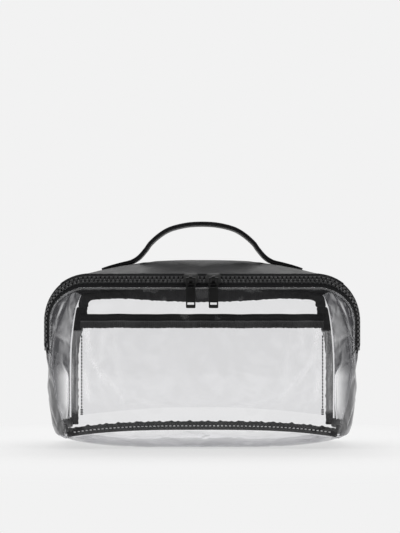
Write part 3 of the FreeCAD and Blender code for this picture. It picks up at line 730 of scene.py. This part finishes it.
def mark_whites_and_glints(sheet, values):
    """Whitens a sheet by a point attribute: along its creases, partly as painted highlight, and along
    painted reflection streaks.
    """
    marks = sheet.data.attributes.new("crease", "FLOAT", "POINT")
    marks.data.foreach_set("value", np.array(values, np.float32))


# Painted reflection streaks of the pocket near one side: start and end, as shares of its half width and
# height, how white and their half width
PAINTED_REFLECTION_STREAKS = [((0.985, 0.97), (0.90, 0.62), 0.30, 1.6), ((0.93, 0.99), (0.95, 0.55), 0.22, 2.4),
           ((0.95, 0.66), (0.78, 0.30), 0.24, 1.4), ((0.90, 0.58), (0.60, 0.10), 0.16, 1.0),
           ((0.97, 0.50), (0.93, 0.12), 0.26, 2.0), ((0.80, 0.98), (0.84, 0.52), 0.12, 3.0),
           ((0.74, 0.90), (0.66, 0.35), 0.07, 2.2), ((0.55, 0.16), (0.20, 0.06), 0.10, 1.6)]


def painted_streaks_at(x, z, half, low, high, glint_side_gain):
    """How white the pocket's painted reflection streaks are at (x, z)."""
    total = 0.0
    here = np.array([abs(x), z])
    for start, end, white, width in PAINTED_REFLECTION_STREAKS:
        a, b = (np.array([u * half, low + (high - low) * v]) for u, v in (start, end))
        span = b - a
        run = min(max((here - a) @ span / (span @ span), 0.0), 1.0)
        away = np.linalg.norm(here - a - span * run)
        fade = math.sin(math.pi * run) ** 0.6
        total = max(total, white * glint_side_gain * fade * math.exp(-(away / width) ** 2))
    return total


def pocket_sheet():
    """The clear slip pocket, with its bottom edge arched and painted reflection streaks near its sides.
    """
    shares, rises = np.linspace(-1, 1, 117), np.linspace(0, 1, 51)
    half, top = POCKET_HIGH[0], TRIM_HIGH[2] - 4.0
    y = POCKET_LOW[1]
    rows, whites_and_glints = [], []
    for t in rises:
        row = []
        for u in shares:
            bottom = POCKET_LOW[2] + 8.0 * (1 - u * u)
            row.append(point(u * half, y + 0.25, bottom + (top - bottom) * t))
            # The painted reflection streaks are fainter on the right half
            glint_gain = 1.0 if u < 0 else 0.75
            whites_and_glints.append(painted_streaks_at(u * half, row[-1][2], half, POCKET_LOW[2], top, glint_gain))
        rows.append(row)
    sheet = grid_piece("pocket_panel_sheet", np.array(rows), VINYL)
    mark_whites_and_glints(sheet, whites_and_glints)
    settle(sheet, grid_border(len(rows), len(shares)), 0.4, 0.006, 1.6)
    refine(sheet)
    finish_piece(sheet, "shell", "clear_vinyl", "pocket_panel")


def finish_piece(piece, body, slot, *nodes):
    """Puts a piece on its body in place of CAD nodes."""
    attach(piece, body)
    if nodes:
        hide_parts(*nodes)
    return piece


# Top and handle

def crown_height(x):
    """Height of the dome's highest line, half way back."""
    return CROWN_HEIGHT - CROWN_END_DROP * abs(x / TOP_HALF_LENGTH) ** 3


def top_front_height(x):
    """Height of the dome's front edge, which follows the rear tape round the corners."""
    past = max(abs(x) - ZIP_HALF_STRAIGHT, 0.0)
    round_corner = math.sqrt(1 - (past / (ZIP_RADIUS + TOP_EDGE_REACH)) ** 2)
    return ZIP_CENTRE_Z + (ZIP_RADIUS + TOP_EDGE_LIFT) * round_corner


def top_point(share, u):
    """A point of the domed top. share runs from -1 at the zip to 1 at the back, u from end to end."""
    edge_y = TOP_BACK_DEPTH if share > 0 else TOP_FRONT_DEPTH
    bowed = abs(share) ** BOW
    crown = crown_height(u * TOP_HALF_LENGTH)
    half, edge = TOP_HALF_LENGTH, top_front_height(u * TOP_HALF_LENGTH)
    if share > 0:
        half -= TOP_BACK_NARROWING * bowed
        edge = BACK_SEAM_HEIGHT - BACK_SEAM_END_DROP * abs(u) ** 5
    return point(u * half, share * edge_y, crown + (edge - crown) * bowed)


def top_cover():
    """The padded faux leather dome, held down by its seams and by the handle's sewn ends."""
    shares = np.sin(np.linspace(-math.pi / 2, math.pi / 2, 61))
    ends = np.sin(np.linspace(-math.pi / 2, math.pi / 2, 101))
    rows = [[top_point(s, u) for u in ends] for s in shares]
    held = grid_border(len(shares), len(ends), 2)
    for i, row in enumerate(rows):
        for j, p in enumerate(row):
            if abs(p[1]) < 12 and 54 < abs(p[0]) < 94:
                held.append(i * len(ends) + j)
    cover = grid_piece("top_cover", np.array(rows), LEATHER)
    settle(cover, held, 2.2, 0.003, 1.4)
    refine(cover)
    thicken(cover, 1.3)
    finish_piece(cover, "shell", "black_faux_leather", "top_panel")


# The strap's middle line (x, z), from its right sewn end to the middle of the loop. None: on the dome
HANDLE_LINE = [(92.0, None), (83.0, None), (74.0, None), (64.5, 168.0), (57.8, 172.0), (51.6, 179.0),
               (47.2, 185.0), (38.7, 192.5), (29.0, 198.0), (14.7, 201.6), (0.0, 202.6)]


def handle_layer(side, inner, name):
    """Half of one layer of the strap, from its sewn end to the middle of the loop."""
    line = [(x, 0.0, z if z else crown_height(x) + 2.05) for x, z in HANDLE_LINE]
    path = smooth_line(line + [(-14.7, 0.0, 201.6)], 200)
    path = path[path[:, 0] > 0.4]
    path = np.vstack([path, [0.0, 0.0, HANDLE_LINE[-1][1]]])
    sections = []
    for i, p in enumerate(path):
        travel = unit(path[min(i + 1, len(path) - 1)] - path[max(i - 1, 0)]) if i < len(path) - 1 else -X
        out = np.cross(Y, travel)
        sewn = min(max((p[0] - 62.0) / 30.0, 0.0), 1.0)
        thin = 0.84 * (1 - 0.45 * sewn)
        wide = (9.85 if inner else 10.0) * (1.0 if i > 4 else 0.84 + 0.04 * i)
        middle = p + out * ((-1.0 if inner else 1.0) * (thin + 0.03) - 0.9 * sewn)
        flip = point(side, 1, 1)
        sections.append(rounded_strip(middle * flip, Y * side, out * flip, wide, thin))
    strap = crease_sharp(swept(name, sections, LEATHER), 50)
    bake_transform(strap)
    loop = "handle_loop_inner" if inner else "handle_loop_outer"
    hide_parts(loop, "handle_end_right" if side > 0 else "handle_end_left")


# Zip

def tape(row, name, body):
    """A woven zip tape with a corded edge. row is 1 for the rear half, -1 for the front half."""
    end = ZIP_HALF_STRAIGHT + ZIP_CORNER + ZIP_CENTRE_Z - TAPE_END_Z
    sections = []
    for distance in zip_stations(end, 1.5):
        where, along, across, out = zip_frame(distance)
        tail = max(0.0, (abs(distance) - end + 8.0) / 8.0) ** 1.5
        where = where - X * math.copysign(2.2 * tail, distance)
        last = (8.3 if row > 0 else 7.9) - 1.8 * tail
        profile = [(3.5, 0.0), (3.6, 0.45), (4.0, 0.62), (4.5, 0.45), (4.9, 0.28), (last, 0.28),
                   (last, -0.28), (4.9, -0.28), (4.5, -0.45), (4.0, -0.62), (3.6, -0.45)]
        section = [where + across * (row * a) + out * b for a, b in profile]
        if row < 0:
            section[5:7] = [p + Y * 0.35 for p in section[5:7]]
        sections.append(section)
    strip = crease_sharp(swept(name + "_woven", sections, TAPE), 60)
    finish_piece(strip, body, "black_tape", name)


def moulded(node, look, rounding, swell=0.0):
    """Keeps a CAD node's shape, a little swollen if asked, with its edges rounded and a finish."""
    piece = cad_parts[node]
    piece.data.materials.clear()
    piece.data.materials.append(look)
    weld = piece.modifiers.new("Weld", "WELD")
    weld.merge_threshold = 0.00001
    if swell:
        fuller = piece.modifiers.new("Swell", "DISPLACE")
        fuller.strength = swell * MM
        fuller.mid_level = 0.0
    soften(piece, rounding)


# Bindings

def bound_tape(node, path, half_widths, wide_of, thick, seed, look, lumps=0.5):
    """A binding along a path, gathered along its free edge, which is its wide side."""
    path = np.array(path, float)
    count = len(path)
    length = np.linalg.norm(np.diff(path, axis=0), axis=1).sum()
    gathers = ripple(np.linspace(0, 1, count), seed, (length / 15, length / 9, length / 5.3))
    sway = ripple(np.linspace(0, 1, count), seed + 1, (5, 9, 17))
    sections = []
    for i, p in enumerate(path):
        wide = wide_of(i)
        from_end = min(i, count - 1 - i) / 4.0
        taper = 0.6 + 0.4 * math.sqrt(1 - (1 - min(from_end, 1.0)) ** 2)
        lump = lumps * (gathers[i] + 0.3 * abs(gathers[i]))
        middle = p + wide * (lump / 2) + thick * (0.12 * sway[i])
        half_width = half_widths[i] * taper + lump / 2
        sections.append(rounded_strip(middle, wide, thick, half_width, 0.5 + 0.15 * gathers[i]))
    strip = swept(node.replace("binding", "bound_seam"), sections, look)
    finish_piece(strip, "shell", "black_binding", node)


# The middle of the bindings' thickness on the back sheet
BACK_BINDING_Y = 54.55


def front_bottom_binding():
    """Bound seam allowance, standing up inside the front bottom seam."""
    xs = np.linspace(-118.8, 118.8, 420)
    path = [point(x, FRONT_Y + 1.25, front_seam_height(x) + 4.5) for x in xs]
    bound_tape("front_bottom_binding", path, [3.85] * len(xs), lambda i: Z, Y, 3, BINDING, 0.8)


def side_bottom_binding(side, node):
    """Bound seam allowance, standing up inside a side bottom seam."""
    ys = np.linspace(-54.5, 54.5, 180)
    path = [point(side * (side_seam_x(y) - 2.65), y, 17.1) for y in ys]
    lean = unit(Z + X * side * 0.12)
    bound_tape(node, path, [4.2] * len(ys), lambda i: lean, X * side, 11 + side, BINDING, 0.8)


# The back side binding: outer x, width and height
BACK_BINDING = [(125.6, 7.0, 15.0), (125.7, 7.0, 42.0), (125.8, 7.0, 64.0), (125.5, 7.0, 82.0),
                (124.5, 7.8, 98.0), (122.6, 10.6, 115.0), (120.4, 11.0, 128.0)]


def back_side_binding(side, node):
    """Bound seam allowance inside a back corner."""
    rows = smooth_line(BACK_BINDING, 180)
    path = [point(side * (x - width / 2), BACK_BINDING_Y, z) for x, width, z in rows]
    bound_tape(node, path, rows[:, 1] / 2, lambda i: X * -side, -Y, 21 + side, BACK_SEAM, 0.5)


def back_top_binding():
    """Bound seam allowance inside the back top seam. It turns down at both ends and sags."""
    upper = [(119.2, 127.0), (117.6, 135.5), (114.6, 139.9), (107.0, 141.9), (94.0, 143.8),
             (50.0, 145.4), (0.0, 145.9)]
    lower = [(109.2, 127.0), (107.4, 133.6), (95.0, 135.2), (73.0, 135.6), (40.0, 133.6), (0.0, 132.4)]
    edges = []
    for edge in (upper, lower):
        whole = edge + [(-x, z) for x, z in edge[-2::-1]]
        edges.append(smooth_line([(x, BACK_BINDING_Y, z) for x, z in whole], 320))
    span = edges[1] - edges[0]
    middle = (edges[0] + edges[1]) / 2
    half = np.linalg.norm(span, axis=1) / 2
    bound_tape("back_top_binding", middle, half, lambda i: unit(span[i]), -Y, 31, BINDING, 0.5)


def back_seam_edge(side, name):
    """The welded vinyl edge where a side wall meets the back, a thin tube whose white haze paints the
    seam's highlight.
    """
    line = smooth_line([(x + 0.3, 0, z) for x, z in GUSSET_BACK], 90)
    sections = []
    for x, _, z in line:
        sections.append([point(side * (x + 0.75 * math.cos(a)), 54.9 + 0.9 * math.sin(a), z)
                         for a in np.linspace(0, 2 * math.pi, 9)[:-1]])
    finish_piece(swept(name, sections, EDGE_VINYL_PAINTED_GLINT), "shell", "clear_vinyl")


def pocket_trim():
    """The strip folded over the pocket's mouth: smooth above, finely gathered below, with a lighter band
    along its ridge that is a painted highlight.
    """
    xs = np.linspace(-POCKET_HIGH[0], POCKET_HIGH[0], 420)
    gather = ripple(np.linspace(0, 1, len(xs)), 41, (37, 61, 93))
    sway = ripple(np.linspace(0, 1, len(xs)), 42, (3, 5, 9))
    y, top, bottom = POCKET_LOW[1] + 0.25, TRIM_HIGH[2], TRIM_LOW[2]
    ridge_low, ridge_high = 113.4, 114.6
    sections = []
    for i, x in enumerate(xs):
        low = bottom + 0.35 * gather[i]
        front = [(0.95, low), (1.15, low + 0.6), (1.0 + 0.15 * gather[i], low + 2.2),
                 (0.95 + 0.12 * gather[i], low + 4.6), (1.2, ridge_low), (1.3, ridge_high), (1.05, 115.0),
                 (1.15, 117.5), (0.95, 119.7), (0.55, top - 0.25)]
        back = [(-0.5, top - 0.2), (-0.9, 119.7), (-1.05, ridge_high), (-0.95, low)]
        outline = front + [(0, top)] + back
        sections.append([point(x, y - a + 0.25 * sway[i], z + 0.3 * sway[i]) for a, z in outline])
    strip = swept("pocket_trim_fold", sections, TRIM)
    strip.data.materials.append(TRIM_PAINTED_HIGHLIGHT)
    strip.data.materials.append(TRIM_GATHERS)
    # Faces at the ridge take the painted highlight, those below it the gathers
    for face in strip.data.polygons:
        height = face.center.z / MM
        if height <= ridge_high:
            face.material_index = 1 if height > ridge_low - 0.2 else 2
    finish_piece(strip, "shell", "black_binding", "pocket_binding")


# Floor, light and camera

# How bright the paper is where no shadow falls
PAPER_WHITE = 0.888


def floor():
    """A pale seamless sweep. Part of its light is its own, so that shadows stay soft and pale."""
    profile = [(-3.0, 0.0), (0.9, 0.0)]
    turn = np.linspace(0.1, math.pi / 2, 12)
    profile += [(0.9 + 0.9 * math.sin(a), 0.9 - 0.9 * math.cos(a)) for a in turn]
    profile += [(1.8, 4.0)]
    grid = np.array([[point(x, y * 1000, z * 1000) for x in (-4000, 4000)] for y, z in profile])
    look, tree, output = new_look("paper")
    lit = add(tree, "ShaderNodeBsdfDiffuse", Color=(0.42, 0.42, 0.42, 1))
    own = add(tree, "ShaderNodeEmission", Color=(1, 1, 1, 1), Strength=0.5)
    both = tree.nodes.new("ShaderNodeAddShader")
    tree.links.new(lit.outputs[0], both.inputs[0])
    tree.links.new(own.outputs[0], both.inputs[1])
    distance = add(tree, "ShaderNodeVectorMath", _operation="LENGTH")
    tree.links.new(places(tree), distance.inputs[0])
    plain = add(tree, "ShaderNodeEmission", Color=(1, 1, 1, 1), Strength=PAPER_WHITE)
    away = ramp(tree, distance.outputs["Value"], 0.2, 0.36)
    tree.links.new(blended(tree, away, both, plain).outputs[0], output.inputs["Surface"])
    grid_piece("sweep", grid, look)


def area_light(name, place, target, width, height, power):
    """A rectangular light aimed at a point."""
    data = bpy.data.lights.new(name, "AREA")
    data.shape = "RECTANGLE"
    data.size = width
    data.size_y = height
    data.energy = power
    light = bpy.data.objects.new(name, data)
    light.location = place
    light.rotation_euler = (Vector(target) - Vector(place)).to_track_quat("-Z", "Y").to_euler()
    bpy.context.scene.collection.objects.link(light)


def studio():
    """Even light from above and behind, a darker room on the camera's side and two tall side lights."""
    world = bpy.data.worlds.new("studio")
    bpy.context.scene.world = world
    world.use_nodes = True
    tree = world.node_tree
    way = tree.nodes.new("ShaderNodeTexCoord")
    parts = tree.nodes.new("ShaderNodeSeparateXYZ")
    tree.links.new(way.outputs["Generated"], parts.inputs[0])
    strength = ramp(tree, parts.outputs["Y"], -0.75, 0.1, 0.15, 0.9)
    path = tree.nodes.new("ShaderNodeLightPath")
    seen = tree.nodes.new("ShaderNodeMix")
    seen.inputs["B"].default_value = PAPER_WHITE
    tree.links.new(path.outputs["Is Camera Ray"], seen.inputs["Factor"])
    tree.links.new(strength, seen.inputs["A"])
    tree.links.new(seen.outputs["Result"], tree.nodes["Background"].inputs["Strength"])
    tree.nodes["Background"].inputs["Color"].default_value = (1, 1, 1, 1)
    area_light("overhead", (0, 0.75, 1.25), (0, 0, 0.1), 1.0, 0.6, 6.5)
    area_light("left_strip", (-1.0, -0.6, 0.45), (0, 0, 0.08), 0.22, 1.1, 3.0)
    area_light("right_strip", (1.0, -0.6, 0.45), (0, 0, 0.08), 0.22, 1.1, 3.0)
    bpy.context.scene.view_settings.view_transform = "Standard"


def camera():
    """Level and square to the bag's front, at the photo's distance."""
    data = bpy.data.cameras.new("photo")
    data.lens = 93.7
    data.shift_x = -0.004
    data.shift_y = 0.138
    view = bpy.data.objects.new("photo", data)
    view.location = (0, -1.277, 0.096)
    view.rotation_euler = (math.pi / 2, 0, 0)
    bpy.context.scene.collection.objects.link(view)
    bpy.context.scene.camera = view


front_sheet()
front_hem()
back_and_base_sheet()
side_gusset(1, "side_gusset_right", 5)
side_gusset(-1, "side_gusset_left", 8)
pocket_sheet()
top_cover()
for side, where in ((1, "right"), (-1, "left")):
    handle_layer(side, False, "handle_outer_" + where)
    handle_layer(side, True, "handle_inner_" + where)
tape(1, "zip_tape_rear", "shell")
tape(-1, "zip_tape_front", "front_flap")
front_bottom_binding()
back_top_binding()
pocket_trim()
for side, where in ((1, "right"), (-1, "left")):
    back_seam_edge(side, "back_seam_edge_" + where)
    side_bottom_binding(side, "side_bottom_binding_" + where)
    back_side_binding(side, "back_side_binding_" + where)
    moulded("slider_body_" + where, ENAMEL, 0.35)
    moulded("slider_inner_plate_" + where, ENAMEL, 0.35)
    moulded("pull_tab_" + where, ENAMEL, 0.3)
for node in ("zip_teeth_rear", "zip_teeth_front", "zip_end_stops"):
    moulded(node, TEETH, 0.3)
moulded("pocket_stitches", THREAD, 0.19, 0.15)
moulded("front_edge_stitches", THREAD, 0.19)
# The front bottom stitches are pale to paint the glints along their row
moulded("front_bottom_stitches", PAINTED_GLINT_THREAD, 0.19)
floor()
studio()
camera()
